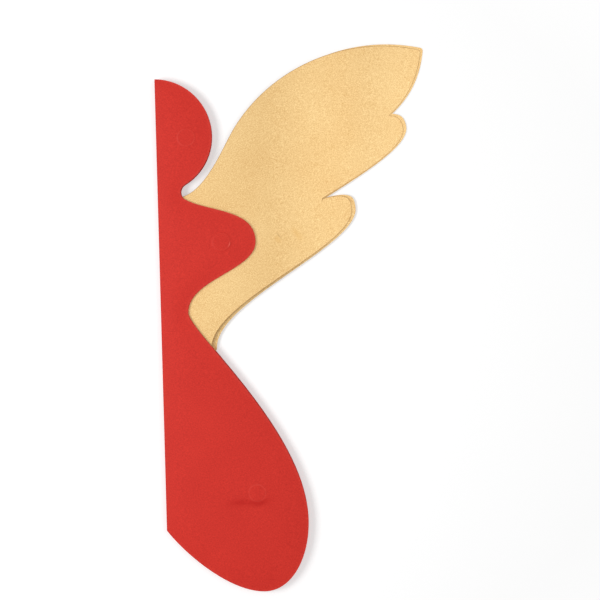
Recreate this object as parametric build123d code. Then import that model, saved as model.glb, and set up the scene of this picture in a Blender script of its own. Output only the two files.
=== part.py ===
"""Folding paper angel, closed and lying flat.

Red sheets, each folded once at the spine, are glued half to half into a stack with the half
silhouette of a head, bust and skirt. Two gold wings are glued between the sheets. A cover leaf on
each side hides three disc magnets, which hold the covers together when the angel is fanned open.
Millimetres, +Z up, +Y from the skirt to the head, +X from the spine to the free edge.
"""
import os
from math import cos, radians, sin, sqrt

from build123d import *

# Paper and stack
RED_PAPER = 0.4
GOLD_PAPER = 0.35
CREASE_WIDTH = 0.1  # opening inside a fold, where the paper springs back
CREASE_REACH = 6.0  # from the fold to where the two halves are pressed together
REAR_SHEETS = 2  # folded sheets under the rear wing
MIDDLE_SHEETS = 4  # folded sheets between the wings
FRONT_SHEETS = 2  # folded sheets over the front wing

# Disc magnets and the rings that they raise in the front cover
MAGNET_DIAMETER = 13.0
MAGNET_THICKNESS = 0.5
RING_CLEARANCE = 0.4  # flat of the ring beyond the disc's rim
RING_SLOPE = 2.0  # width over which the cover comes down again
HEAD_MAGNET_INSET = 20.8  # from the head's free edge
HEAD_MAGNET_DROP = 1.6  # below the head's centre
BUST_MAGNET_INSET = 27.8  # from the bust's free edge
SKIRT_MAGNET_INSET = 41.9  # from the skirt's free edge
SKIRT_MAGNET_RISE = 25.0  # above the skirt's widest level

# Body outline from the lower end of the spine: widths from the spine, rises from level to level
SKIRT_WIDTH = 117.6
SKIRT_RISE = 5.1
WAIST_WIDTH = 22.3
WAIST_RISE = 175.1
BUST_WIDTH = 79.0
BUST_RISE = 57.7
NECK_RISE = 41.3
NECK_ROUND = 6.9  # radius of the hollow between head and bust
NECK_END = 30.0  # slope in degrees where that hollow runs into the bust
HEAD_RADIUS = 46.2
HEAD_SETBACK = 1.0  # the head's centre lies this far behind the spine
HEAD_END = 60.0  # degrees below level where the head's arc runs into the neck
FOOT_REACH = 80.0  # lowest point of the skirt, from the spine
FOOT_DROP = 52.8  # and below the spine's lower end
HEM_SLOPE = 53.4  # degrees, of the hem where it meets the spine

# How far the outline holds its direction before and after each of those points
NECK_PULL = 21.2
BUST_PULL = (26.8, 24.3)
WAIST_PULL = (27.9, 16.0)
SKIRT_PULL = (73.6, 29.9)
FOOT_PULL = (23.1, 28.0)
HEM_PULL = 27.3

# Wing outline from the top of its root, which is tucked into the neck
ROOT_TUCK = 1.7  # inside the narrowest part of the neck
ROOT_DROP = 4.2  # below the neck's level
ROOT_INSET = 2.0  # glued edge, from the spine
ROOT_SLANT = 8.0  # fall of the glued edge's upper end
ROOT_HEADING = 6.1
SHOULDER = (45.4, 53.7)
SHOULDER_HEADING = 58.4
TIP = (200.9, 116.3)
TIP_HEADINGS = (-13.5, -95.7)
TIP_ROUND = 2.5
UPPER_NOTCH = (174.2, 63.6)
UPPER_NOTCH_HEADINGS = (221.4, -1.9)
MIDDLE_LOBE = (185.5, 52.9)
MIDDLE_LOBE_HEADING = -82.5
LOWER_NOTCH = (117.9, -3.3)
LOWER_NOTCH_HEADINGS = (210.6, 12.8)
LOWER_LOBE = (141.9, -12.5)
LOWER_LOBE_HEADING = -86.0
TAIL = (23.9, -124.0)
TAIL_HEADING = -91.5
TAIL_TUCK = 18.0  # length of the tail hidden under the skirt

ROOT_PULL = 21.3
SHOULDER_PULL = (16.0, 54.5)
TIP_PULL = (67.3, 22.1)
UPPER_NOTCH_PULL = (21.4, 7.1)
MIDDLE_LOBE_PULL = (7.1, 15.4)
LOWER_NOTCH_PULL = (40.3, 21.7)
LOWER_LOBE_PULL = (9.3, 31.0)
TAIL_PULL = (38.2, 10.0)
TUCK_PULL = 15.0

# How the wings come down from the stack and lie on the table
REAR_WING_SHIFT = 4.1  # the rear wing is glued in this far to the side
REAR_WING_TURN = 0.5  # degrees, about the end of its tail
BEND_CLEARANCE = 4.0  # from the bust's free edge to the start of the bend
BEND_RUN = 112.0  # length over which a wing comes down
WING_AIR = 0.1  # between the two wings where they lie on each other

OVERRUN = 1.0  # how far a cutting shape runs past what it cuts
DOWN = -90.0
LEFT = 180.0

# Levels and heights that follow from the sizes above
WAIST_LEVEL = SKIRT_RISE + WAIST_RISE
BUST_LEVEL = WAIST_LEVEL + BUST_RISE
NECK_LEVEL = BUST_LEVEL + NECK_RISE
NECK_OFFSET = (HEAD_RADIUS + NECK_ROUND) * cos(radians(HEAD_END)) - HEAD_SETBACK
HEAD_LEVEL = NECK_LEVEL + (HEAD_RADIUS + NECK_ROUND) * sin(radians(HEAD_END))
SPINE_TOP = HEAD_LEVEL + sqrt(HEAD_RADIUS**2 - HEAD_SETBACK**2)
SHEET_THICKNESS = 2 * RED_PAPER
REAR_SHEETS_Z = RED_PAPER + MAGNET_THICKNESS
REAR_WING_Z = REAR_SHEETS_Z + REAR_SHEETS * SHEET_THICKNESS
MIDDLE_SHEETS_Z = REAR_WING_Z + GOLD_PAPER
FRONT_WING_Z = MIDDLE_SHEETS_Z + MIDDLE_SHEETS * SHEET_THICKNESS
FRONT_SHEETS_Z = FRONT_WING_Z + GOLD_PAPER
FRONT_COVER_Z = FRONT_SHEETS_Z + FRONT_SHEETS * SHEET_THICKNESS
ROOT_TOP = Vector(NECK_OFFSET - NECK_ROUND - ROOT_TUCK, NECK_LEVEL - ROOT_DROP)
MAGNET_PLACES = {
    "head": (HEAD_RADIUS - HEAD_SETBACK - HEAD_MAGNET_INSET, HEAD_LEVEL - HEAD_MAGNET_DROP),
    "bust": (BUST_WIDTH - BUST_MAGNET_INSET, BUST_LEVEL),
    "skirt": (SKIRT_WIDTH - SKIRT_MAGNET_INSET, SKIRT_RISE + SKIRT_MAGNET_RISE),
}


def heading(degrees):
    """Unit vector along a heading, counted from +X towards +Y."""
    return Vector(cos(radians(degrees)), sin(radians(degrees)))


def drawn_curve(start, start_heading, start_pull, end, end_heading, end_pull):
    """Curve that leaves start on one heading and reaches end on another."""
    first = Vector(start)
    last = Vector(end)
    leaving = first + heading(start_heading) * start_pull
    arriving = last - heading(end_heading) * end_pull
    return Bezier(first, leaving, arriving, last)


def body_outline():
    """Half silhouette of head, bust and skirt, with the straight spine at X = 0."""
    corner = (0, 0)
    crown = (0, SPINE_TOP)
    head_centre = Vector(-HEAD_SETBACK, HEAD_LEVEL)
    head_side = head_centre + heading(0) * HEAD_RADIUS
    head_end = head_centre + heading(-HEAD_END) * HEAD_RADIUS
    neck_centre = Vector(NECK_OFFSET, NECK_LEVEL)
    neck_side = neck_centre + heading(LEFT) * NECK_ROUND
    neck_end = neck_centre + heading(DOWN - NECK_END) * NECK_ROUND
    bust = (BUST_WIDTH, BUST_LEVEL)
    waist = (WAIST_WIDTH, WAIST_LEVEL)
    skirt = (SKIRT_WIDTH, SKIRT_RISE)
    foot = (FOOT_REACH, -FOOT_DROP)
    return make_face(
        [
            Line(corner, crown),
            ThreePointArc(crown, head_side, head_end),
            ThreePointArc(head_end, neck_side, neck_end),
            drawn_curve(neck_end, -NECK_END, NECK_PULL, bust, DOWN, BUST_PULL[0]),
            drawn_curve(bust, DOWN, BUST_PULL[1], waist, DOWN, WAIST_PULL[0]),
            drawn_curve(waist, DOWN, WAIST_PULL[1], skirt, DOWN, SKIRT_PULL[0]),
            drawn_curve(skirt, DOWN, SKIRT_PULL[1], foot, LEFT, FOOT_PULL[0]),
            drawn_curve(foot, LEFT, FOOT_PULL[1], corner, LEFT - HEM_SLOPE, HEM_PULL),
        ]
    )


def wing_outline():
    """Wing with a long leading edge, two rounded lobes and a tail, glued edge near the spine."""
    shoulder = ROOT_TOP + Vector(SHOULDER)
    tip = ROOT_TOP + Vector(TIP)
    upper_notch = ROOT_TOP + Vector(UPPER_NOTCH)
    middle_lobe = ROOT_TOP + Vector(MIDDLE_LOBE)
    lower_notch = ROOT_TOP + Vector(LOWER_NOTCH)
    lower_lobe = ROOT_TOP + Vector(LOWER_LOBE)
    tail = ROOT_TOP + Vector(TAIL)
    glued_low = Vector(ROOT_INSET, tail.Y - TAIL_TUCK)
    glued_high = Vector(ROOT_INSET, ROOT_TOP.Y - ROOT_SLANT)
    leading_edge = [
        drawn_curve(
            ROOT_TOP, ROOT_HEADING, ROOT_PULL, shoulder, SHOULDER_HEADING, SHOULDER_PULL[0]
        ),
        drawn_curve(
            shoulder, SHOULDER_HEADING, SHOULDER_PULL[1], tip, TIP_HEADINGS[0], TIP_PULL[0]
        ),
    ]
    feathered_edge = [
        drawn_curve(
            tip, TIP_HEADINGS[1], TIP_PULL[1],
            upper_notch, UPPER_NOTCH_HEADINGS[0], UPPER_NOTCH_PULL[0],
        ),
        drawn_curve(
            upper_notch, UPPER_NOTCH_HEADINGS[1], UPPER_NOTCH_PULL[1],
            middle_lobe, MIDDLE_LOBE_HEADING, MIDDLE_LOBE_PULL[0],
        ),
        drawn_curve(
            middle_lobe, MIDDLE_LOBE_HEADING, MIDDLE_LOBE_PULL[1],
            lower_notch, LOWER_NOTCH_HEADINGS[0], LOWER_NOTCH_PULL[0],
        ),
        drawn_curve(
            lower_notch, LOWER_NOTCH_HEADINGS[1], LOWER_NOTCH_PULL[1],
            lower_lobe, LOWER_LOBE_HEADING, LOWER_LOBE_PULL[0],
        ),
        drawn_curve(
            lower_lobe, LOWER_LOBE_HEADING, LOWER_LOBE_PULL[1],
            tail, TAIL_HEADING, TAIL_PULL[0],
        ),
    ]
    hidden_edge = [
        drawn_curve(tail, TAIL_HEADING, TAIL_PULL[1], glued_low, LEFT, TUCK_PULL),
        Line(glued_low, glued_high),
        Line(glued_high, ROOT_TOP),
    ]
    outline = make_face(leading_edge + feathered_edge + hidden_edge)
    tip_corner = outline.vertices().sort_by_distance(tip)[0]
    return fillet(tip_corner, TIP_ROUND)


def prism(outline, low, high):
    """Upright block with the given outline between two heights."""
    return extrude(Pos(0, 0, low) * outline, high - low, dir=(0, 0, 1))


def swept_along_y(edges, shape):
    """Section drawn in the XZ plane, drawn out along Y past both ends of a shape."""
    box = shape.bounding_box()
    section = Pos(0, box.min.Y - OVERRUN, 0) * make_face(edges)
    return extrude(section, box.size.Y + 2 * OVERRUN, dir=(0, 1, 0))


def folded_sheet(outline, low):
    """One sheet folded at the spine, round outside the fold, with a crease left open inside it."""
    middle = low + RED_PAPER
    high = low + SHEET_THICKNESS
    far = outline.bounding_box().max.X + OVERRUN
    pressed = RED_PAPER + CREASE_REACH
    halves = [
        Line((far, 0, low), (RED_PAPER, 0, low)),
        ThreePointArc((RED_PAPER, 0, low), (0, 0, middle), (RED_PAPER, 0, high)),
        Line((RED_PAPER, 0, high), (far, 0, high)),
        Line((far, 0, high), (far, 0, low)),
    ]
    crease = Polyline(
        (RED_PAPER, 0, middle - CREASE_WIDTH / 2),
        (pressed, 0, middle),
        (RED_PAPER, 0, middle + CREASE_WIDTH / 2),
        close=True,
    )
    sheet = swept_along_y(halves, outline) - swept_along_y(crease.edges(), outline)
    return sheet & prism(outline, low - OVERRUN, high + OVERRUN)


def wing(outline, root_z, resting_z):
    """Gold sheet, level in the stack and bending down to the table outside it."""
    box = outline.bounding_box()
    near = box.min.X - OVERRUN
    far = box.max.X + OVERRUN
    start = BUST_WIDTH + BEND_CLEARANCE
    stop = start + BEND_RUN
    outwards = Vector(1, 0, 0)
    section = []
    for lift in (0, GOLD_PAPER):
        top = Vector(start, 0, root_z + lift)
        bottom = Vector(stop, 0, resting_z + lift)
        halfway = (top + bottom) / 2
        section.append(Line((near, 0, top.Z), top))
        section.append(TangentArc(top, halfway, tangent=outwards))
        section.append(TangentArc(bottom, halfway, tangent=-outwards))
        section.append(Line(bottom, (far, 0, bottom.Z)))
    section.append(Line((near, 0, root_z), (near, 0, root_z + GOLD_PAPER)))
    section.append(Line((far, 0, resting_z), (far, 0, resting_z + GOLD_PAPER)))
    sheet = swept_along_y(section, outline)
    return sheet & prism(outline, resting_z - OVERRUN, root_z + GOLD_PAPER + OVERRUN)


def raised_ring():
    """Round patch of the front cover, lifted over a magnet and sloping down to its rim."""
    flat = MAGNET_DIAMETER / 2 + RING_CLEARANCE
    rim = flat + RING_SLOPE
    section = []
    for lift in (0, RED_PAPER):
        high = MAGNET_THICKNESS + lift
        section.append(Line((0, 0, high), (flat, 0, high)))
        section.append(Line((flat, 0, high), (rim, 0, lift)))
    section.append(Line((0, 0, MAGNET_THICKNESS), (0, 0, MAGNET_THICKNESS + RED_PAPER)))
    section.append(Line((rim, 0, 0), (rim, 0, RED_PAPER)))
    return revolve(make_face(section), Axis.Z), rim


def front_cover(outline):
    """Top leaf with a raised ring over each magnet."""
    leaf = prism(outline, FRONT_COVER_Z, FRONT_COVER_Z + RED_PAPER)
    ring, rim = raised_ring()
    for x, y in MAGNET_PLACES.values():
        leaf -= Pos(x, y, FRONT_COVER_Z) * Cylinder(rim, 2 * (RED_PAPER + OVERRUN))
        leaf += Pos(x, y, FRONT_COVER_Z) * ring
    return leaf


def magnet(place, low):
    """Thin disc lying on the given height."""
    return Pos(*place, low + MAGNET_THICKNESS / 2) * Cylinder(MAGNET_DIAMETER / 2, MAGNET_THICKNESS)


def red_sheets(outline):
    """All folded sheets by name, from the rear cover up."""
    heights = []
    for first, count in (
        (REAR_SHEETS_Z, REAR_SHEETS),
        (MIDDLE_SHEETS_Z, MIDDLE_SHEETS),
        (FRONT_SHEETS_Z, FRONT_SHEETS),
    ):
        heights += [first + number * SHEET_THICKNESS for number in range(count)]
    return {
        f"red_sheet_{number:02d}": folded_sheet(outline, low)
        for number, low in enumerate(heights, start=1)
    }


def build():
    """Every piece by name, with the origin under the middle of the whole."""
    body = body_outline()
    front_gold = wing_outline()
    pivot = ROOT_TOP + Vector(TAIL)
    turn = Pos(pivot) * Rot(0, 0, REAR_WING_TURN) * Pos(-pivot)
    rear_gold = Pos(REAR_WING_SHIFT, 0, 0) * turn * front_gold
    pieces = {"rear_cover": prism(body, 0, RED_PAPER), "front_cover": front_cover(body)}
    pieces.update(red_sheets(body))
    pieces["rear_wing"] = wing(rear_gold, REAR_WING_Z, 0)
    pieces["front_wing"] = wing(front_gold, FRONT_WING_Z, GOLD_PAPER + WING_AIR)
    for name, place in MAGNET_PLACES.items():
        pieces[f"rear_{name}_magnet"] = magnet(place, RED_PAPER)
        pieces[f"front_{name}_magnet"] = magnet(place, FRONT_COVER_Z)
    box = Compound([piece.solid() for piece in pieces.values()]).bounding_box()
    origin = Vector(box.center().X, box.center().Y, box.min.Z)
    return {name: Pos(-origin) * piece for name, piece in pieces.items()}


os.makedirs("parts", exist_ok=True)
for node, piece in build().items():
    export_step(piece, f"parts/{node}.step")
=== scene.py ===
"""Looks of a folding paper angel that lies closed and flat.

Red folded sheets cut to a half silhouette lie on each other between two cover leaves. Two gold
wings come out between the sheets, and the front cover is raised in rings over hidden discs.
Metres, +Z up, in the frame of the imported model.
"""
from math import cos, pi, radians, sin, sqrt

import bmesh
import bpy
import numpy as np
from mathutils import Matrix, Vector, noise
from mathutils.geometry import delaunay_2d_cdt


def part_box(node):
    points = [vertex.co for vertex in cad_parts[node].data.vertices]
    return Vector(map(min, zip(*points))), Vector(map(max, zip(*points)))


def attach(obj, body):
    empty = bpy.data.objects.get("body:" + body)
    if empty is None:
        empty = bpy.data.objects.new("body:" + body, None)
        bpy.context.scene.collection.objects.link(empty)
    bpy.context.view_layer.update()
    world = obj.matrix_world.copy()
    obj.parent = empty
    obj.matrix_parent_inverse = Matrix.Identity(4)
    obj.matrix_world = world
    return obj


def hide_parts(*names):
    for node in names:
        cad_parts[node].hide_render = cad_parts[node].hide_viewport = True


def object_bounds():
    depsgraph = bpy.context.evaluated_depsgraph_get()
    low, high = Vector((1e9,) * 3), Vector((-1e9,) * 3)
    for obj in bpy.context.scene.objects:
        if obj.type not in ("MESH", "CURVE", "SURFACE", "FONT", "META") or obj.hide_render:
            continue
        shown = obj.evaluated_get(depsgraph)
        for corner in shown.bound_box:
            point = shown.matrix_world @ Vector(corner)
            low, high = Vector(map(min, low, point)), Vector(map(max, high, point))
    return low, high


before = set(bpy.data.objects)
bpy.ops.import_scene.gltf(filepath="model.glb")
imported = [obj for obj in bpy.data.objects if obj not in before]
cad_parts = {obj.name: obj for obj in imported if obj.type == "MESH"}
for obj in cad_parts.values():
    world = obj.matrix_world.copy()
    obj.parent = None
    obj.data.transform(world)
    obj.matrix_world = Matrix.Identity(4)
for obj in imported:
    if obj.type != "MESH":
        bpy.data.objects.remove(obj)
cad_low, cad_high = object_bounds()

MM = 0.001
WELD = 0.001 * MM  # points nearer than this are one point

# Meshing of the leaves
COVER_GRID = 2.2 * MM
REAR_COVER_GRID = 2 * COVER_GRID
WING_GRID = 3.0 * MM
EDGE_STEP = 1.2 * MM  # about the longest run between points along a cut edge
EDGE_ROW = 0.5 * MM  # row of points just inside a cut edge
ROW_CLEARANCE = 0.8 * EDGE_ROW  # a point of that row keeps this far from every edge
RING_ROW_STEP = 0.35 * MM  # between the rows of points over the slope of a raised ring
RING_ROWS_INSIDE = 3  # rows within the disc's rim
RING_SPOKES = 72
FACING = 0.5  # a face whose normal points less than this up or down is a cut edge
SHARP_ANGLE = radians(40)  # edges bent further are shaded sharp

# Folded sheets
FOLD_COLUMNS = 6  # facets over a quarter turn of the fold
FOLD_OPENING = 0.14 * MM  # air between the two halves of a sheet at its free edge
SHEET_SKEW = 0.22 * MM  # how far a sheet may lie off its place in the stack
SHEET_TURN = radians(0.035)
SHEET_TINT = 0.05  # how far a sheet's tone may differ from the others
STACK_SEED = 7

# Front cover: rings over the discs, soft waves, and the crease below the skirt's ring
RING_FLAT = 0.4 * MM  # flat of a ring beyond its disc
RING_SLOPE = 2.0 * MM
COVER_BOW = 1.6 * MM  # how far the springy stack rises between its edges
BOW_REACH = 30 * MM  # from an edge to the full rise
COVER_WAVE = 0.35 * MM
WAVE_LENGTH = 95 * MM
WAVE_SEED = 1.7
BURR = 0.05 * MM  # rise of the paper at a cut edge
FREE_REACH = 14 * MM  # burr, and the rub and painted highlight along the edge, grow over this distance from the spine
# Crease, from the centre of the skirt's disc: to the side, upwards, and share of its depth
CREASE = (
    (-28.6 * MM, -8.9 * MM, 0.0),
    (-19.7 * MM, -7.8 * MM, 0.5),
    (-12.5 * MM, -7.4 * MM, 0.8),
    (-7.5 * MM, -7.6 * MM, 0.45),
    (-1.0 * MM, -9.0 * MM, 0.9),
    (4.9 * MM, -8.2 * MM, 0.8),
    (8.9 * MM, -6.0 * MM, 0.3),
    (13.0 * MM, -5.2 * MM, 0.0),
)
CREASE_SOFTNESS = 3.0 * MM  # its kinks are rounded over this distance to each side
CREASE_SAMPLES = 5  # places within that distance that are averaged
CREASE_WIDTH = 2.7 * MM
CREASE_DEPTH = 0.6 * MM
BULGE_REACH = 24 * MM  # how far above the crease the paper stands up
CREASE_SHADE_SHARE = 0.75  # strength of the painted shade along the crease
RUB_AND_HIGHLIGHT_WIDTH = 0.6 * MM  # line that the disc's rim has rubbed into the paper, painted paler also as a highlight on the ring's slope
RUB_AND_HIGHLIGHT_BREAKS = 6 * MM  # length of the fainter and stronger runs of that line
RUB_AND_HIGHLIGHT_SEED = 3.1
# strength of the rub and painted highlight on each ring
RING_RUB_AND_HIGHLIGHT_SHARES = {"head": 0.25, "bust": 0.12, "skirt": 0.28}
BUST_RUB_AND_HIGHLIGHT_SHARE = 0.9  # bright rub and painted highlight on the free side of the bust's ring
BUST_RUB_AND_HIGHLIGHT_DROP = 2.2 * MM  # below the disc's middle
BUST_RUB_AND_HIGHLIGHT_HALF_LENGTH = 3.0 * MM
EDGE_RUB_AND_HIGHLIGHT = 1.3 * MM  # paler band along the free edge: rub, and painted highlight of the cut edge
EDGE_RUB_AND_HIGHLIGHT_SHARE = 0.1

# Wings
REAR_SPRING = 0.9  # of the rear wing, from lying pressed, 0, to hanging free, 1
REST_SHARE = 0.66  # of the front wing's run, after which it lies on the rear wing
WING_AIR = 0.1 * MM  # between the wings where they lie on each other
RIM_WEAR_AND_SHADE = {"rear_wing": 0.1, "front_wing": 1.0}  # strength of the brown that the die leaves, on the front wing also painted shade of its edge over the rear wing
# Marks on the front wing, a scratch and painted shade on the sides of a shallow dent: middle from the
# bust's disc, half length, half width, strength
SCRATCHES = (((47.0 * MM, 4.4 * MM), 4.6 * MM, 0.8 * MM, 0.36),)
# painted shade on the two sides of a shallow dent
DENT_SHADES = (
    ((46.2 * MM, 1.2 * MM), 5.0 * MM, 3.2 * MM, 0.5),
    ((62.0 * MM, 5.2 * MM), 9.5 * MM, 3.6 * MM, 0.6),
)
SCRATCH_AND_DENT_SHADE_SLANT = radians(-52)
SCRATCH_AND_DENT_SHADE_ROWS = 5  # rows of fine points over a mark

# Red paper: pattern sizes, tones and gloss
RED_CLOUD = 30 * MM
RED_CLOUD_SHARE = 0.3  # of the clouds in the tone, beside the fibres
FIBRE_WIDTH = 0.8 * MM  # really about 0.03 mm, drawn as coarse as it needs to show
FIBRE_LENGTH = 1.4 * MM
FIBRE_TURN = radians(37)  # between the two ways that the fibres lie
FIBRE_RELIEF = 0.03 * MM
RED_TONE_RANGE = (0.68, 1.62)  # sums of clouds and fibres at the deepest and the brightest red
RED_ROUGHNESS = (0.5, 0.72)
RED_DEEP = "#C2231B"
RED_BRIGHT = "#E2392C"
# painted shade of the crease
RED_CREASE_SHADE = "#B8120E"
# paler red of rub, and of painted highlight on the rings and the free edge
RED_RUB_AND_HIGHLIGHT = "#EC6A5C"

# Gold paper: pattern sizes, tones and gloss
GOLD_MOTTLE = 0.8 * MM
GOLD_CLOUD = 60 * MM
GOLD_CLOUD_SHARE = 0.25  # of the clouds in the tone, beside the grain
MICA_FLAKE = 0.6 * MM  # really about 0.05 mm, drawn as coarse as it needs to show
MICA_SHARE = 0.25  # of the flakes in the grain, beside the mottle
GRAIN_RELIEF = 0.02 * MM
GOLD_TONE_RANGE = (0.425, 1.075)  # sums of clouds and grain at the deepest and the palest gold
GOLD_METAL = 0.6  # mica in a clear binder is only partly a metal
GOLD_ROUGHNESS = (0.34, 0.48)
GOLD_DEEP = "#C59554"
GOLD_PALE = "#ECD097"
# painted shade of a shallow dent
GOLD_DENT_SHADE = "#D4A55E"
# brown of the die's rim and the scratch, on the front wing's rim also painted shade
GOLD_BROWNED_AND_SHADED = "#8A5A1E"
GOLD_BARE = "#B0834A"

# Nickel plate
TUMBLING_MARK = 0.8 * MM
NICKEL_ROUGHNESS = (0.22, 0.45)
NICKEL_DARK = "#B4B2AC"
NICKEL_PALE = "#CFCDC7"

# Camera over the object, from the lower end of the spine
CAMERA_PLACE = (115.5 * MM, 234.7 * MM)
CAMERA_HEIGHT = 1.0
CAMERA_TILT = radians(2.65)
CAMERA_TURN = radians(1.27)
LENS = 72.5  # focal length and sensor in millimetres
SENSOR = 36.0

# Light and floor
WHITE = "#FFFFFF"
FLOOR_WHITE = "#DADADA"
FLOOR_SIZE = 8.0
FLOOR_DROP = 0.03 * MM
FLOOR_NEAR = 0.3  # out to here the lamps light the floor, and further out it glows more by itself
FLOOR_FAR = 1.1
FLOOR_GLOW = (0.42, 0.8)
SKY_FILL = 0.38
KEY_LIGHT = {"place": (-0.72, 0.02, 0.85), "size": 0.45, "power": 6.5}
SIDE_LIGHT = {"place": (0.62, 0.2, 1.35), "size": 0.7, "power": 3.7}

BODY = "root"
DISCS = ("head", "bust", "skirt")
RED_SHEETS = sorted(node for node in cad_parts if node.startswith("red_sheet"))


# Colours and nodes


def linear(hex_colour):
    """Linear colour, with alpha, of an sRGB hex value."""
    shares = [int(hex_colour[place:place + 2], 16) / 255 for place in (1, 3, 5)]
    return [c / 12.92 if c <= 0.04045 else ((c + 0.055) / 1.055) ** 2.4 for c in shares] + [1.0]


def add(tree, kind, inputs=None, **settings):
    """Adds a node, with its settings, and sets or links its inputs by name or number."""
    node = tree.nodes.new(kind)
    for name, value in settings.items():
        setattr(node, name, value)
    for name, value in (inputs or {}).items():
        if isinstance(value, bpy.types.NodeSocket):
            tree.links.new(value, node.inputs[name])
        else:
            node.inputs[name].default_value = value
    return node


def new_material(name):
    """Empty node material, with its tree."""
    material = bpy.data.materials.new(name)
    material.use_nodes = True
    material.node_tree.nodes.clear()
    return material, material.node_tree


# Finishes


def dyed_red_paper():
    """Smooth paper dyed through: matt, faintly cloudy, with short fibres, a paler line of rub and painted
    highlight, and painted shade along the crease.
    """
    material, tree = new_material("dyed_red_paper")
    place = add(tree, "ShaderNodeTexCoord").outputs["Object"]
    # Clouds in the formation of the sheet
    clouds = add(tree, "ShaderNodeTexNoise", {"Vector": place, "Scale": 1 / RED_CLOUD, "Detail": 2.0})
    # Fibres that lie two ways
    lengthwise = add(
        tree, "ShaderNodeMapping",
        {"Vector": place, "Scale": (MM / FIBRE_WIDTH, MM / FIBRE_LENGTH, 1.0)},
    )
    crosswise = add(
        tree, "ShaderNodeMapping",
        {
            "Vector": place,
            "Scale": (MM / FIBRE_LENGTH, MM / FIBRE_WIDTH, 1.0),
            "Rotation": (0, 0, FIBRE_TURN),
        },
    )
    fibres = [
        add(tree, "ShaderNodeTexNoise", {"Vector": run.outputs[0], "Scale": 1 / MM, "Detail": 2.0})
        for run in (lengthwise, crosswise)
    ]
    felt = add(
        tree, "ShaderNodeMath", {0: fibres[0].outputs[0], 1: fibres[1].outputs[0]}, operation="ADD"
    )
    tone = add(
        tree, "ShaderNodeMath",
        {0: clouds.outputs[0], 1: RED_CLOUD_SHARE, 2: felt.outputs[0]}, operation="MULTIPLY_ADD",
    )
    shade = add(
        tree, "ShaderNodeMapRange",
        {"Value": tone.outputs[0], "From Min": RED_TONE_RANGE[0], "From Max": RED_TONE_RANGE[1]},
    )
    colour = add(
        tree, "ShaderNodeMix",
        {"Factor": shade.outputs[0], "A": linear(RED_DEEP), "B": linear(RED_BRIGHT)},
        data_type="RGBA",
    )
    # Each sheet of the stack has its own slight tint
    tint = add(tree, "ShaderNodeAttribute", attribute_name="sheet_tint")
    brightness = add(tree, "ShaderNodeMath", {0: tint.outputs["Fac"], 1: 1.0}, operation="ADD")
    sheet = add(
        tree, "ShaderNodeHueSaturation", {"Color": colour.outputs["Result"], "Value": brightness.outputs[0]}
    )
    # Painted shade darkens the crease, and rub with painted highlight makes the paper paler
    crease_shade = add(tree, "ShaderNodeAttribute", attribute_name="crease_shade")
    crease_shaded = add(
        tree, "ShaderNodeMix",
        {"Factor": crease_shade.outputs["Fac"], "A": sheet.outputs[0], "B": linear(RED_CREASE_SHADE)},
        data_type="RGBA",
    )
    rub_and_highlight = add(tree, "ShaderNodeAttribute", attribute_name="rub_and_highlight")
    rubbed_and_highlit = add(
        tree, "ShaderNodeMix",
        {"Factor": rub_and_highlight.outputs["Fac"], "A": crease_shaded.outputs["Result"], "B": linear(RED_RUB_AND_HIGHLIGHT)},
        data_type="RGBA",
    )
    roughness = add(
        tree, "ShaderNodeMapRange",
        {
            "Value": felt.outputs[0], "From Max": len(fibres),
            "To Min": RED_ROUGHNESS[0], "To Max": RED_ROUGHNESS[1],
        },
    )
    relief = add(
        tree, "ShaderNodeBump", {"Height": felt.outputs[0], "Strength": 0.25, "Distance": FIBRE_RELIEF}
    )
    # Cellulose and size have an IOR near 1.45, and the open fibres take away half of the gloss
    surface = add(
        tree, "ShaderNodeBsdfPrincipled",
        {
            "Base Color": rubbed_and_highlit.outputs["Result"],
            "Roughness": roughness.outputs[0],
            "Normal": relief.outputs[0],
            "IOR": 1.45,
            "Specular IOR Level": 0.25,
        },
    )
    add(tree, "ShaderNodeOutputMaterial", {"Surface": surface.outputs[0]})
    return material


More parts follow.
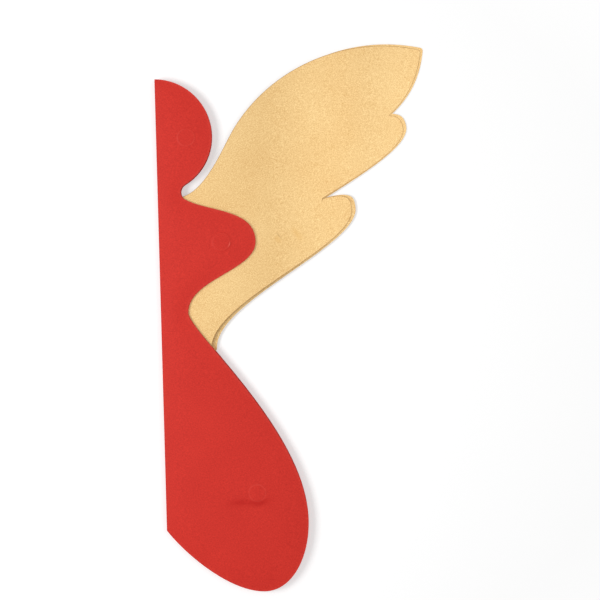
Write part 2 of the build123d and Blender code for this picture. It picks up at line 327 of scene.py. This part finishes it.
def pearl_gold_paper():
    """Paper coated with gold mica: a soft metal sheen with a fine grain, and a bare cut edge."""
    material, tree = new_material("pearl_gold_paper")
    place = add(tree, "ShaderNodeTexCoord").outputs["Object"]
    # Fine mottle and mica flakes of the coating, and wide clouds in it
    mottle = add(tree, "ShaderNodeTexNoise", {"Vector": place, "Scale": 1 / GOLD_MOTTLE, "Detail": 2.0})
    clouds = add(tree, "ShaderNodeTexNoise", {"Vector": place, "Scale": 1 / GOLD_CLOUD, "Detail": 1.0})
    flakes = add(tree, "ShaderNodeTexVoronoi", {"Vector": place, "Scale": 1 / MICA_FLAKE})
    grain = add(
        tree, "ShaderNodeMath",
        {0: flakes.outputs["Color"], 1: MICA_SHARE, 2: mottle.outputs[0]}, operation="MULTIPLY_ADD",
    )
    tone = add(
        tree, "ShaderNodeMath",
        {0: clouds.outputs[0], 1: GOLD_CLOUD_SHARE, 2: grain.outputs[0]}, operation="MULTIPLY_ADD",
    )
    shade = add(
        tree, "ShaderNodeMapRange",
        {"Value": tone.outputs[0], "From Min": GOLD_TONE_RANGE[0], "From Max": GOLD_TONE_RANGE[1]},
    )
    colour = add(
        tree, "ShaderNodeMix",
        {"Factor": shade.outputs[0], "A": linear(GOLD_DEEP), "B": linear(GOLD_PALE)},
        data_type="RGBA",
    )
    # Painted shade of a dent darkens the coating; the rim that the die pressed and the scratch are brown,
    # and the front wing's rim is also painted shade
    dent_shade = add(tree, "ShaderNodeAttribute", attribute_name="dent_shade")
    dent_shaded = add(
        tree, "ShaderNodeMix",
        {"Factor": dent_shade.outputs["Fac"], "A": colour.outputs["Result"], "B": linear(GOLD_DENT_SHADE)},
        data_type="RGBA",
    )
    worn_and_shaded = add(tree, "ShaderNodeAttribute", attribute_name="worn_and_shaded")
    coat = add(
        tree, "ShaderNodeMix",
        {"Factor": worn_and_shaded.outputs["Fac"], "A": dent_shaded.outputs["Result"], "B": linear(GOLD_BROWNED_AND_SHADED)},
        data_type="RGBA",
    )
    # The cut edge shows the bare paper between the coatings
    normal = add(tree, "ShaderNodeNewGeometry").outputs["True Normal"]
    upright = add(tree, "ShaderNodeSeparateXYZ", {0: normal})
    slope = add(tree, "ShaderNodeMath", {0: upright.outputs["Z"]}, operation="ABSOLUTE")
    coated = add(tree, "ShaderNodeMath", {0: slope.outputs[0], 1: FACING}, operation="GREATER_THAN")
    skin = add(
        tree, "ShaderNodeMix",
        {"Factor": coated.outputs[0], "A": linear(GOLD_BARE), "B": coat.outputs["Result"]},
        data_type="RGBA",
    )
    metal = add(tree, "ShaderNodeMath", {0: coated.outputs[0], 1: GOLD_METAL}, operation="MULTIPLY")
    roughness = add(
        tree, "ShaderNodeMapRange",
        {"Value": flakes.outputs["Color"], "To Min": GOLD_ROUGHNESS[0], "To Max": GOLD_ROUGHNESS[1]},
    )
    relief = add(
        tree, "ShaderNodeBump", {"Height": grain.outputs[0], "Strength": 0.3, "Distance": GRAIN_RELIEF}
    )
    surface = add(
        tree, "ShaderNodeBsdfPrincipled",
        {
            "Base Color": skin.outputs["Result"],
            "Metallic": metal.outputs[0],
            "Roughness": roughness.outputs[0],
            "Normal": relief.outputs[0],
        },
    )
    add(tree, "ShaderNodeOutputMaterial", {"Surface": surface.outputs[0]})
    return material


def nickel_plate():
    """Nickel-plated disc: pale grey metal with fine tumbling marks."""
    material, tree = new_material("nickel_plate")
    place = add(tree, "ShaderNodeTexCoord").outputs["Object"]
    marks = add(tree, "ShaderNodeTexNoise", {"Vector": place, "Scale": 1 / TUMBLING_MARK, "Detail": 5.0})
    roughness = add(
        tree, "ShaderNodeMapRange",
        {"Value": marks.outputs[0], "To Min": NICKEL_ROUGHNESS[0], "To Max": NICKEL_ROUGHNESS[1]},
    )
    colour = add(tree, "ShaderNodeValToRGB", {"Fac": marks.outputs[0]})
    colour.color_ramp.elements[0].color = linear(NICKEL_DARK)
    colour.color_ramp.elements[1].color = linear(NICKEL_PALE)
    surface = add(
        tree, "ShaderNodeBsdfPrincipled",
        {"Base Color": colour.outputs[0], "Metallic": 1.0, "Roughness": roughness.outputs[0]},
    )
    add(tree, "ShaderNodeOutputMaterial", {"Surface": surface.outputs[0]})
    return material


# Outlines and meshes


def cut_edge(node):
    """Points along the upper rim of a node's cut edge, counter-clockwise, read from its solid."""
    mesh = bmesh.new()
    mesh.from_mesh(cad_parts[node].data)
    bmesh.ops.remove_doubles(mesh, verts=mesh.verts, dist=WELD)
    mesh.normal_update()
    onward = {}
    for face in mesh.faces:
        if face.normal.z < FACING:
            continue
        for loop in face.loops:
            if loop.link_loop_radial_next.face.normal.z < FACING:
                onward[loop.vert.index] = loop.link_loop_next.vert.index
    rim = [next(iter(onward))]
    while onward[rim[-1]] != rim[0]:
        rim.append(onward[rim[-1]])
    mesh.verts.ensure_lookup_table()
    points = np.array([mesh.verts[index].co[:] for index in rim])
    mesh.free()
    return points


def fine_edge(rim):
    """The same outline with points about an edge step apart, or nearer where it has them."""
    runs = np.roll(rim, -1, axis=0) - rim
    pieces = []
    for start, run in zip(rim, runs):
        count = max(1, round(np.linalg.norm(run) / EDGE_STEP))
        pieces.append(start + run * (np.arange(count) / count)[:, None])
    return np.concatenate(pieces)


def edge_distance(points, rim):
    """Distance of each point from the outline."""
    starts = rim[:, :2]
    runs = np.roll(starts, -1, axis=0) - starts
    lengths = (runs ** 2).sum(axis=1)
    nearest = np.full(len(points), np.inf)
    for start, run, length in zip(starts, runs, lengths):
        along = np.clip(((points - start) @ run) / length, 0, 1)
        nearest = np.minimum(nearest, np.linalg.norm(points - start - along[:, None] * run, axis=1))
    return nearest


def soft_distance(points, rim):
    """Distance from the outline that turns smoothly where two edges are equally near."""
    starts = rim[:, :2]
    pull = np.zeros(len(points))
    for start, end in zip(starts, np.roll(starts, -1, axis=0)):
        length = np.linalg.norm(end - start)
        reach = points - start
        ahead = reach @ (end - start) / length
        behind = ahead - length
        off = np.maximum((reach ** 2).sum(axis=1) - ahead ** 2, WELD ** 2)
        pull += (ahead / np.sqrt(off + ahead ** 2) - behind / np.sqrt(off + behind ** 2)) / off
    return np.sqrt(2 / pull)


def is_inside(points, rim):
    """Whether each point lies inside the outline."""
    inside = np.zeros(len(points), bool)
    for (x0, y0), (x1, y1) in zip(rim[:, :2], np.roll(rim[:, :2], -1, axis=0)):
        crosses = (y0 > points[:, 1]) != (y1 > points[:, 1])
        with np.errstate(divide="ignore", invalid="ignore"):
            side = points[:, 0] < (x1 - x0) * (points[:, 1] - y0) / (y1 - y0) + x0
        inside ^= crosses & side
    return inside


def even_points(rim, spacing):
    """Points of a triangular grid inside an outline, and a row just inside its edge."""
    low = rim[:, :2].min(axis=0)
    high = rim[:, :2].max(axis=0)
    rise = spacing * sqrt(3) / 2
    rows = []
    for number, y in enumerate(np.arange(low[1], high[1], rise)):
        x = np.arange(low[0] + (number % 2) * spacing / 2, high[0], spacing)
        rows.append(np.column_stack([x, np.full(len(x), y)]))
    grid = np.concatenate(rows)
    grid = grid[is_inside(grid, rim)]
    grid = grid[edge_distance(grid, rim) > EDGE_ROW + spacing / 2]
    ahead = np.roll(rim[:, :2], -1, axis=0) - np.roll(rim[:, :2], 1, axis=0)
    inwards = np.column_stack([-ahead[:, 1], ahead[:, 0]])
    row = rim[:, :2] + EDGE_ROW * inwards / np.linalg.norm(inwards, axis=1)[:, None]
    row = row[is_inside(row, rim)]
    row = row[edge_distance(row, rim) > ROW_CLEARANCE]
    return np.concatenate([grid, row])


def triangulate(rim, points=(), columns=()):
    """Flat triangles inside an outline, through the given points and upright columns."""
    places = [Vector(point[:2]) / MM for point in rim] + [Vector(point) / MM for point in points]
    lines = []
    for x in columns:
        lines.append((len(places), len(places) + 1))
        places.append(Vector((x, cad_low.y)) / MM)
        places.append(Vector((x, cad_high.y)) / MM)
    outline = [list(range(len(rim)))]
    flat, _, faces, *_ = delaunay_2d_cdt(places, lines, outline, 1, WELD / MM)
    return np.array([point[:] for point in flat]) * MM, [list(face) for face in faces]


def rim_edges(faces):
    """Directed edges that only one triangle has, with the sheet on their left."""
    edges = {(face[k - 1], face[k]) for face in faces for k in range(3)}
    return sorted(edge for edge in edges if edge[::-1] not in edges)


def mesh_of(name, points, faces):
    """Mesh with merged points, smooth over gentle slopes and sharp at cut edges."""
    mesh = bpy.data.meshes.new(name)
    mesh.from_pydata(points.tolist(), [], faces)
    work = bmesh.new()
    work.from_mesh(mesh)
    bmesh.ops.dissolve_degenerate(work, edges=work.edges, dist=WELD)
    loose = [vert for vert in work.verts if not vert.link_faces]
    bmesh.ops.delete(work, geom=loose, context="VERTS")
    bmesh.ops.remove_doubles(work, verts=work.verts, dist=WELD)
    work.to_mesh(mesh)
    work.free()
    mesh.shade_smooth()
    mesh.set_sharp_from_angle(angle=SHARP_ANGLE)
    return mesh


def paper_leaf(name, flat, faces, top, thickness):
    """Closed leaf: a top face at the given heights, the same below it, and the cut edge."""
    count = len(flat)
    points = np.concatenate([
        np.column_stack([flat, top]),
        np.column_stack([flat, top - thickness]),
    ])
    under = [[count + index for index in reversed(face)] for face in faces]
    walls = [[a, a + count, b + count, b] for a, b in rim_edges(faces)]
    return mesh_of(name, points, faces + under + walls)


def places_of(mesh):
    """Places of a mesh's points."""
    return np.array([vert.co[:] for vert in mesh.vertices])


def mark(mesh, name, values):
    """Stores a value for each point of a mesh."""
    attribute = mesh.attributes.new(name, "FLOAT", "POINT")
    attribute.data.foreach_set("value", np.ascontiguousarray(values, np.float32))


def show(name, mesh, material, slot, *nodes):
    """Puts a finished mesh in the scene in place of its solids."""
    piece = bpy.data.objects.new(name, mesh)
    bpy.context.scene.collection.objects.link(piece)
    mesh.materials.clear()
    mesh.materials.append(material)
    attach(piece, BODY)
    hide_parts(*nodes)


def ease(share):
    """Smooth step from 0 to 1."""
    share = np.clip(share, 0, 1)
    return share * share * (3 - 2 * share)


def waves(places, length, seed):
    """Soft uneven waves between 0 and 1."""
    return np.array([
        0.5 + 0.5 * noise.noise(Vector((x / length, y / length, seed))) for x, y in places[:, :2]
    ])


# Red leaves and the discs under them


def disc_centre(name):
    """Middle of a disc and its radius, in plan."""
    low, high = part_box(name)
    return np.array(((low + high) / 2)[:2]), (high.x - low.x) / 2


def crease_offset(places):
    """How far each place lies below the crease, and the share of the crease's depth there."""
    centre, _ = disc_centre("front_skirt_magnet")
    sideways, upwards, depth = np.array(CREASE).T
    near = places[:, 0, None] - centre[0] + CREASE_SOFTNESS * np.linspace(-1, 1, CREASE_SAMPLES)
    level = np.interp(near, sideways, upwards).mean(axis=1)
    share = np.interp(near, sideways, depth).mean(axis=1)
    return centre[1] + level - places[:, 1], share


def from_spine(places):
    """Share that grows from the spine to the free part of a leaf."""
    return ease((places[:, 0] - cad_low.x) / FREE_REACH)


def cover_height(places, rim, thickness):
    """Height of the front cover's upper side over the plane that it lies on."""
    height = COVER_WAVE * waves(places, WAVE_LENGTH, WAVE_SEED)
    below, share = crease_offset(places)
    bulge = (1 - ease(0.5 + below / (2 * CREASE_WIDTH))) * (1 - ease(-below / BULGE_REACH))
    height += CREASE_DEPTH * share * bulge
    low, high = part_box("front_cover")
    ring_rise = high.z - low.z - thickness
    for name in DISCS:
        centre, radius = disc_centre(f"front_{name}_magnet")
        out = np.linalg.norm(places[:, :2] - centre, axis=1) - radius - RING_FLAT
        height = np.maximum(height, ring_rise * (1 - ease(out / RING_SLOPE)))
    inwards = np.clip(soft_distance(places[:, :2], rim) / BOW_REACH, 0, 1)
    height += COVER_BOW * np.sin(inwards * pi / 2)
    height += BURR * (1 - ease(edge_distance(places[:, :2], rim) / EDGE_ROW)) * from_spine(places)
    return thickness + height


def rub_and_highlight_strength(places, rim):
    """Paler lines, partly rub and partly painted highlight, where a disc's rim shows through, strongest
    beside the bust, and along the edge.
    """
    edge = 1 - ease(edge_distance(places[:, :2], rim) / EDGE_RUB_AND_HIGHLIGHT)
    amount = EDGE_RUB_AND_HIGHLIGHT_SHARE * edge * from_spine(places)
    for name in DISCS:
        centre, radius = disc_centre(f"front_{name}_magnet")
        offset = places[:, :2] - centre
        out = np.abs(np.linalg.norm(offset, axis=1) - radius - RING_FLAT) / RUB_AND_HIGHLIGHT_WIDTH
        amount += RING_RUB_AND_HIGHLIGHT_SHARES[name] * (1 - ease(out)) * waves(places, RUB_AND_HIGHLIGHT_BREAKS, RUB_AND_HIGHLIGHT_SEED)
        if name == "bust":
            run = np.abs(offset[:, 1] + BUST_RUB_AND_HIGHLIGHT_DROP) / BUST_RUB_AND_HIGHLIGHT_HALF_LENGTH
            beside = (offset[:, 0] > 0) * (1 - ease(run))
            amount += BUST_RUB_AND_HIGHLIGHT_SHARE * (1 - ease(out)) * beside
    return amount


def crease_shade_strength(places):
    """Painted shade: a darker band along the crease."""
    below, share = crease_offset(places)
    return CREASE_SHADE_SHARE * share * np.exp(-((below / CREASE_WIDTH) ** 2))


def red_thickness():
    """Thickness of the red paper, from the flat rear cover."""
    low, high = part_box("rear_cover")
    return high.z - low.z


def front_cover(material):
    """Front leaf with rings, crease and soft waves."""
    rim = fine_edge(cut_edge("front_cover"))
    low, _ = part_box("front_cover")
    thickness = red_thickness()
    points = even_points(rim, COVER_GRID)
    angles = np.linspace(0, 2 * pi, RING_SPOKES, endpoint=False)
    spokes = np.column_stack([np.cos(angles), np.sin(angles)])
    rings = []
    for name in DISCS:
        centre, radius = disc_centre(f"front_{name}_magnet")
        inner = radius - RING_ROWS_INSIDE * RING_ROW_STEP
        outer = radius + RING_FLAT + RING_SLOPE + RING_ROW_STEP
        points = points[np.linalg.norm(points - centre, axis=1) > outer + COVER_GRID / 2]
        for row in np.arange(inner, outer, RING_ROW_STEP):
            rings.append(centre + row * spokes)
    flat, faces = triangulate(rim, np.concatenate([points] + rings))
    top = low.z + cover_height(flat, rim, thickness)
    mesh = paper_leaf("front_cover_leaf", flat, faces, top, thickness)
    places = places_of(mesh)
    # rub and painted highlight on the rings and along the free edge
    mark(mesh, "rub_and_highlight", rub_and_highlight_strength(places, rim))
    # painted shade along the crease
    mark(mesh, "crease_shade", crease_shade_strength(places))
    show("front_cover_leaf", mesh, material, "red_paper", "front_cover")


def rear_cover(material):
    """Rear leaf, flat on the table."""
    rim = cut_edge("rear_cover")
    flat, faces = triangulate(rim, even_points(rim, REAR_COVER_GRID))
    thickness = red_thickness()
    mesh = paper_leaf("rear_cover_leaf", flat, faces, np.full(len(flat), thickness), thickness)
    show("rear_cover_leaf", mesh, material, "red_paper", "rear_cover")


def folded_sheet():
    """One sheet folded at the spine, on height 0: a round fold and two halves a hair apart."""
    rim = cut_edge("rear_cover")
    fold = red_thickness()  # radius of the fold's outside, and height of its middle
    quarter = np.linspace(0, pi / 2, FOLD_COLUMNS + 1)[1:]
    flat, faces = triangulate(rim, columns=cad_low.x + fold * (1 - np.cos(quarter)))
    count = len(flat)
    depth = np.clip(flat[:, 0] - cad_low.x, 0, None)
    outer = np.sqrt(np.clip(fold ** 2 - np.clip(fold - depth, 0, None) ** 2, 0, None))
    inner = np.where(depth > fold + WELD, FOLD_OPENING / 2, 0)
    levels = [fold + outer, fold + inner, fold - inner, fold - outer]
    points = np.concatenate([np.column_stack([flat, level]) for level in levels])
    halves = [face for face in faces if min(depth[face]) > fold - WELD]
    solid = faces + [[3 * count + index for index in reversed(face)] for face in faces]
    solid += [[count + index for index in reversed(face)] for face in halves]
    solid += [[2 * count + index for index in face] for face in halves]
    # The cut edge joins the outer levels in the fold, and the two levels of each half beyond it
    fold_walls = ((0, 3),)
    half_walls = ((0, 1), (2, 3))
    for a, b in rim_edges(faces):
        in_fold = max(depth[a], depth[b]) < fold + WELD
        for upper, lower in fold_walls if in_fold else half_walls:
            corners = ((a, upper), (a, lower), (b, lower), (b, upper))
            solid.append([index + level * count for index, level in corners])
    return mesh_of("folded_sheet", points, solid)


def stack_tree():
    """Geometry nodes that lay copies of a sheet on each other, a little askew."""
    tree = bpy.data.node_groups.new("sheet_stack", "GeometryNodeTree")
    tree.interface.new_socket("Geometry", in_out="OUTPUT", socket_type="NodeSocketGeometry")
    for name, kind in (
        ("Sheet", "Geometry"), ("Sheets", "Int"), ("First Height", "Float"), ("Pitch", "Float"),
        ("Skew", "Float"), ("Turn", "Float"), ("Tint", "Float"), ("Seed", "Int"), ("Paper", "Material"),
    ):
        tree.interface.new_socket(name, in_out="INPUT", socket_type="NodeSocket" + kind)
    given = add(tree, "NodeGroupInput").outputs
    first = add(tree, "ShaderNodeCombineXYZ", {"Z": given["First Height"]})
    step = add(tree, "ShaderNodeCombineXYZ", {"Z": given["Pitch"]})
    line = add(
        tree, "GeometryNodeMeshLine",
        {"Count": given["Sheets"], "Start Location": first.outputs[0], "Offset": step.outputs[0]},
    )
    stack = add(
        tree, "GeometryNodeInstanceOnPoints", {"Points": line.outputs[0], "Instance": given["Sheet"]}
    )
    # A shift to any side
    shift = add(tree, "ShaderNodeCombineXYZ", {"X": given["Skew"], "Y": given["Skew"]})
    back = add(tree, "ShaderNodeVectorMath", {0: shift.outputs[0], "Scale": -1.0}, operation="SCALE")
    skew = add(
        tree, "FunctionNodeRandomValue",
        {"Min": back.outputs[0], "Max": shift.outputs[0], "Seed": given["Seed"]},
        data_type="FLOAT_VECTOR",
    )
    moved = add(
        tree, "GeometryNodeTranslateInstances",
        {"Instances": stack.outputs[0], "Translation": skew.outputs[0], "Local Space": False},
    )
    # A turn either way
    whirl = add(tree, "ShaderNodeCombineXYZ", {"Z": given["Turn"]})
    unwhirl = add(tree, "ShaderNodeVectorMath", {0: whirl.outputs[0], "Scale": -1.0}, operation="SCALE")
    turn = add(
        tree, "FunctionNodeRandomValue",
        {"Min": unwhirl.outputs[0], "Max": whirl.outputs[0], "Seed": given["Seed"]},
        data_type="FLOAT_VECTOR",
    )
    turned = add(
        tree, "GeometryNodeRotateInstances",
        {"Instances": moved.outputs[0], "Rotation": turn.outputs[0], "Local Space": False},
    )
    # A tint, darker or paler
    fade = add(tree, "ShaderNodeMath", {0: given["Tint"], 1: -1.0}, operation="MULTIPLY")
    tint = add(
        tree, "FunctionNodeRandomValue",
        {2: fade.outputs[0], 3: given["Tint"], "Seed": given["Seed"]}, data_type="FLOAT",
    )
    tinted = add(
        tree, "GeometryNodeStoreNamedAttribute",
        {"Geometry": turned.outputs[0], "Name": "sheet_tint", "Value": tint.outputs[1]},
        data_type="FLOAT", domain="INSTANCE",
    )
    solid = add(tree, "GeometryNodeRealizeInstances", {0: tinted.outputs[0]})
    paper = add(
        tree, "GeometryNodeSetMaterial", {"Geometry": solid.outputs[0], "Material": given["Paper"]}
    )
    add(tree, "NodeGroupOutput", {"Geometry": paper.outputs[0]})
    return tree


def sheet_runs():
    """Runs of sheets that lie straight on each other, parted by the wings."""
    runs = [[RED_SHEETS[0]]]
    for below, above in zip(RED_SHEETS, RED_SHEETS[1:]):
        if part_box(above)[0].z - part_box(below)[1].z > WELD:
            runs.append([])
        runs[-1].append(above)
    return runs


def red_sheets(material):
    """The folded sheets, one piece for each run between the wings."""
    tree = stack_tree()
    sheet = folded_sheet()
    inputs = [item for item in tree.interface.items_tree if item.in_out == "INPUT"]
    sockets = {item.name: item.identifier for item in inputs}
    for number, nodes in enumerate(sheet_runs()):
        low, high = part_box(nodes[0])
        maker = bpy.data.objects.new("sheet_maker", sheet)
        bpy.context.scene.collection.objects.link(maker)
        stack = maker.modifiers.new("stack", "NODES")
        stack.node_group = tree
        values = {
            "Sheets": len(nodes), "First Height": low.z, "Pitch": high.z - low.z, "Skew": SHEET_SKEW,
            "Turn": SHEET_TURN, "Tint": SHEET_TINT, "Seed": STACK_SEED + number, "Paper": material,
        }
        for name, value in values.items():
            stack[sockets[name]] = value
        view = bpy.context.evaluated_depsgraph_get()
        mesh = bpy.data.meshes.new_from_object(maker.evaluated_get(view))
        maker.modifiers.remove(stack)
        bpy.data.objects.remove(maker)
        name = f"folded_sheets_{number + 1}"
        mesh.name = name
        show(name, mesh, material, "red_paper", *nodes)


def plate_discs(material):
    """Gives the hidden discs their finish."""
    for node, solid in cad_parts.items():
        if node.endswith("_magnet"):
            solid.data.materials.clear()
            solid.data.materials.append(material)


# Gold wings


def scratch_and_dent_shade_directions():
    """Directions along and across the scratch and the painted dent shade."""
    along = np.array([cos(SCRATCH_AND_DENT_SHADE_SLANT), sin(SCRATCH_AND_DENT_SHADE_SLANT)])
    across = np.array([-sin(SCRATCH_AND_DENT_SHADE_SLANT), cos(SCRATCH_AND_DENT_SHADE_SLANT)])
    return along, across


def scratch_and_dent_shade_strength(places, marks):
    """Strength of the short marks on the gold beside the bust: the scratch, and painted shade of a dent."""
    centre, _ = disc_centre("front_bust_magnet")
    along, across = scratch_and_dent_shade_directions()
    amount = np.zeros(len(places))
    for middle, half_length, half_width, strength in marks:
        offset = places[:, :2] - centre - middle
        run = 1 - ease(np.abs(offset @ along) / half_length)
        side = 1 - ease(np.abs(offset @ across) / half_width)
        amount = np.maximum(amount, strength * run * side)
    return amount


def scratch_and_dent_shade_points():
    """Fine points over those marks, in rows along them."""
    centre, _ = disc_centre("front_bust_magnet")
    along, across = scratch_and_dent_shade_directions()
    points = []
    for middle, half_length, half_width, _ in SCRATCHES + DENT_SHADES:
        for side in np.linspace(-half_width, half_width, SCRATCH_AND_DENT_SHADE_ROWS):
            for run in np.arange(-half_length, half_length, half_width):
                points.append(centre + middle + run * along + side * across)
    return np.array(points)


def gold_thickness():
    """Thickness of the gold paper, from the rear wing's tip on the table."""
    return cut_edge("rear_wing")[:, 2].min()


def along_wing(places, rim):
    """How far each place lies from the stack, 0, to the tip of a wing, 1."""
    root = rim[:, 2].max()
    start = rim[rim[:, 2] > root - WELD, 0].max()
    return np.clip((places[:, 0] - start) / (rim[:, 0].max() - start), 0, 1)


def rear_wing_height(places):
    """Height of the rear wing's upper side, level in the stack and hanging to the table outside it."""
    rim = cut_edge("rear_wing")
    order = np.argsort(rim[:, 0])
    bend = np.interp(places[:, 0], rim[order, 0], rim[order, 2])
    root = rim[:, 2].max()
    hanging = root - (root - rim[:, 2].min()) * along_wing(places, rim) ** 2
    return bend + REAR_SPRING * (hanging - bend)


def front_wing_height(places):
    """Height of the front wing's upper side, which comes down to rest on the rear wing."""
    rim = cut_edge("front_wing")
    lying = gold_thickness() + WING_AIR
    lift = rim[:, 2].max() - cut_edge("rear_wing")[:, 2].max() - lying
    down = ease(along_wing(places, rim) / REST_SHARE)
    return rear_wing_height(places) + lying + lift * (1 - down)


def gold_wing(node, material):
    """Wing with a rim browned by the die, on the front one also painted shade, and on the front one a
    scratch and painted shade of a dent.
    """
    rim = fine_edge(cut_edge(node))
    in_front = node == "front_wing"
    points = even_points(rim, WING_GRID)
    if in_front:
        points = np.concatenate([points, scratch_and_dent_shade_points()])
    flat, faces = triangulate(rim, points)
    top = front_wing_height(flat) if in_front else rear_wing_height(flat)
    mesh = paper_leaf(node + "_leaf", flat, faces, top, gold_thickness())
    places = places_of(mesh)
    # brown rim of the die, and on the front wing painted shade of its edge over the rear wing
    wear_and_shade = RIM_WEAR_AND_SHADE[node] * np.maximum(1 - edge_distance(places[:, :2], rim) / EDGE_ROW, 0)
    if in_front:
        wear_and_shade = np.maximum(wear_and_shade, scratch_and_dent_shade_strength(places, SCRATCHES))
        # painted shade of a dent
        mark(mesh, "dent_shade", scratch_and_dent_shade_strength(places, DENT_SHADES))
    mark(mesh, "worn_and_shaded", wear_and_shade)
    show(node + "_leaf", mesh, material, "gold_paper", node)


# Floor, light and camera


def looking_rays(tree):
    """1 for rays that look at a surface, straight or by way of gloss or glass, and 0 for the others."""
    rays = add(tree, "ShaderNodeLightPath").outputs
    without_glass = add(
        tree, "ShaderNodeMath",
        {0: rays["Is Camera Ray"], 1: rays["Is Glossy Ray"]}, operation="MAXIMUM",
    )
    looking = add(
        tree, "ShaderNodeMath",
        {0: without_glass.outputs[0], 1: rays["Is Transmission Ray"]}, operation="MAXIMUM",
    )
    return looking.outputs[0]


def floor():
    """White floor that keeps the shadow, lifted to white only for what looks at it."""
    material, tree = new_material("white_floor")
    place = add(tree, "ShaderNodeTexCoord").outputs["Object"]
    distance = add(tree, "ShaderNodeVectorMath", {0: place}, operation="LENGTH")
    lift = add(
        tree, "ShaderNodeMapRange",
        {
            "Value": distance.outputs["Value"], "From Min": FLOOR_NEAR, "From Max": FLOOR_FAR,
            "To Min": FLOOR_GLOW[0], "To Max": FLOOR_GLOW[1],
        },
    )
    glow = add(tree, "ShaderNodeMath", {0: looking_rays(tree), 1: lift.outputs[0]}, operation="MULTIPLY")
    surface = add(
        tree, "ShaderNodeBsdfPrincipled",
        {
            "Base Color": linear(FLOOR_WHITE), "Roughness": 0.9, "Specular IOR Level": 0.0,
            "Emission Color": linear(WHITE), "Emission Strength": glow.outputs[0],
        },
    )
    add(tree, "ShaderNodeOutputMaterial", {"Surface": surface.outputs[0]})
    half = FLOOR_SIZE / 2
    level = cad_low.z - FLOOR_DROP
    mesh = bpy.data.meshes.new("floor")
    corners = [(-half, -half, level), (half, -half, level), (half, half, level), (-half, half, level)]
    mesh.from_pydata(corners, [], [(0, 1, 2, 3)])
    mesh.materials.append(material)
    plane = bpy.data.objects.new("floor", mesh)
    bpy.context.scene.collection.objects.link(plane)


def sky():
    """Even fill light, white for what looks at it."""
    world = bpy.data.worlds.new("studio")
    world.use_nodes = True
    tree = world.node_tree
    tree.nodes.clear()
    strength = add(
        tree, "ShaderNodeMapRange", {"Value": looking_rays(tree), "To Min": SKY_FILL, "To Max": 1.0}
    )
    fill = add(tree, "ShaderNodeBackground", {"Color": linear(WHITE), "Strength": strength.outputs[0]})
    add(tree, "ShaderNodeOutputWorld", {"Surface": fill.outputs[0]})
    bpy.context.scene.world = world


def soft_light(name, place, size, power):
    """Square soft box that faces the object."""
    lamp = bpy.data.lights.new(name, "AREA")
    lamp.size = size
    lamp.energy = power
    box = bpy.data.objects.new(name, lamp)
    box.location = place
    box.rotation_euler = (-Vector(place)).to_track_quat("-Z", "Y").to_euler()
    bpy.context.scene.collection.objects.link(box)


def camera():
    """Camera that looks down on the object, nearly straight."""
    rim = cut_edge("front_cover")
    spine = rim[rim[:, 0] < cad_low.x + WELD]
    lens = bpy.data.cameras.new("camera")
    lens.lens = LENS
    lens.sensor_width = SENSOR
    eye = bpy.data.objects.new("camera", lens)
    eye.location = (cad_low.x + CAMERA_PLACE[0], spine[:, 1].min() + CAMERA_PLACE[1], CAMERA_HEIGHT)
    eye.rotation_euler = (-CAMERA_TILT, 0, -CAMERA_TURN)
    bpy.context.scene.collection.objects.link(eye)
    bpy.context.scene.camera = eye


bpy.context.scene.view_settings.view_transform = "Standard"
camera()
sky()
soft_light("key_light", **KEY_LIGHT)
soft_light("side_light", **SIDE_LIGHT)
floor()

red_paper = dyed_red_paper()
gold_paper = pearl_gold_paper()
rear_cover(red_paper)
red_sheets(red_paper)
gold_wing("rear_wing", gold_paper)
gold_wing("front_wing", gold_paper)
front_cover(red_paper)
plate_discs(nickel_plate())
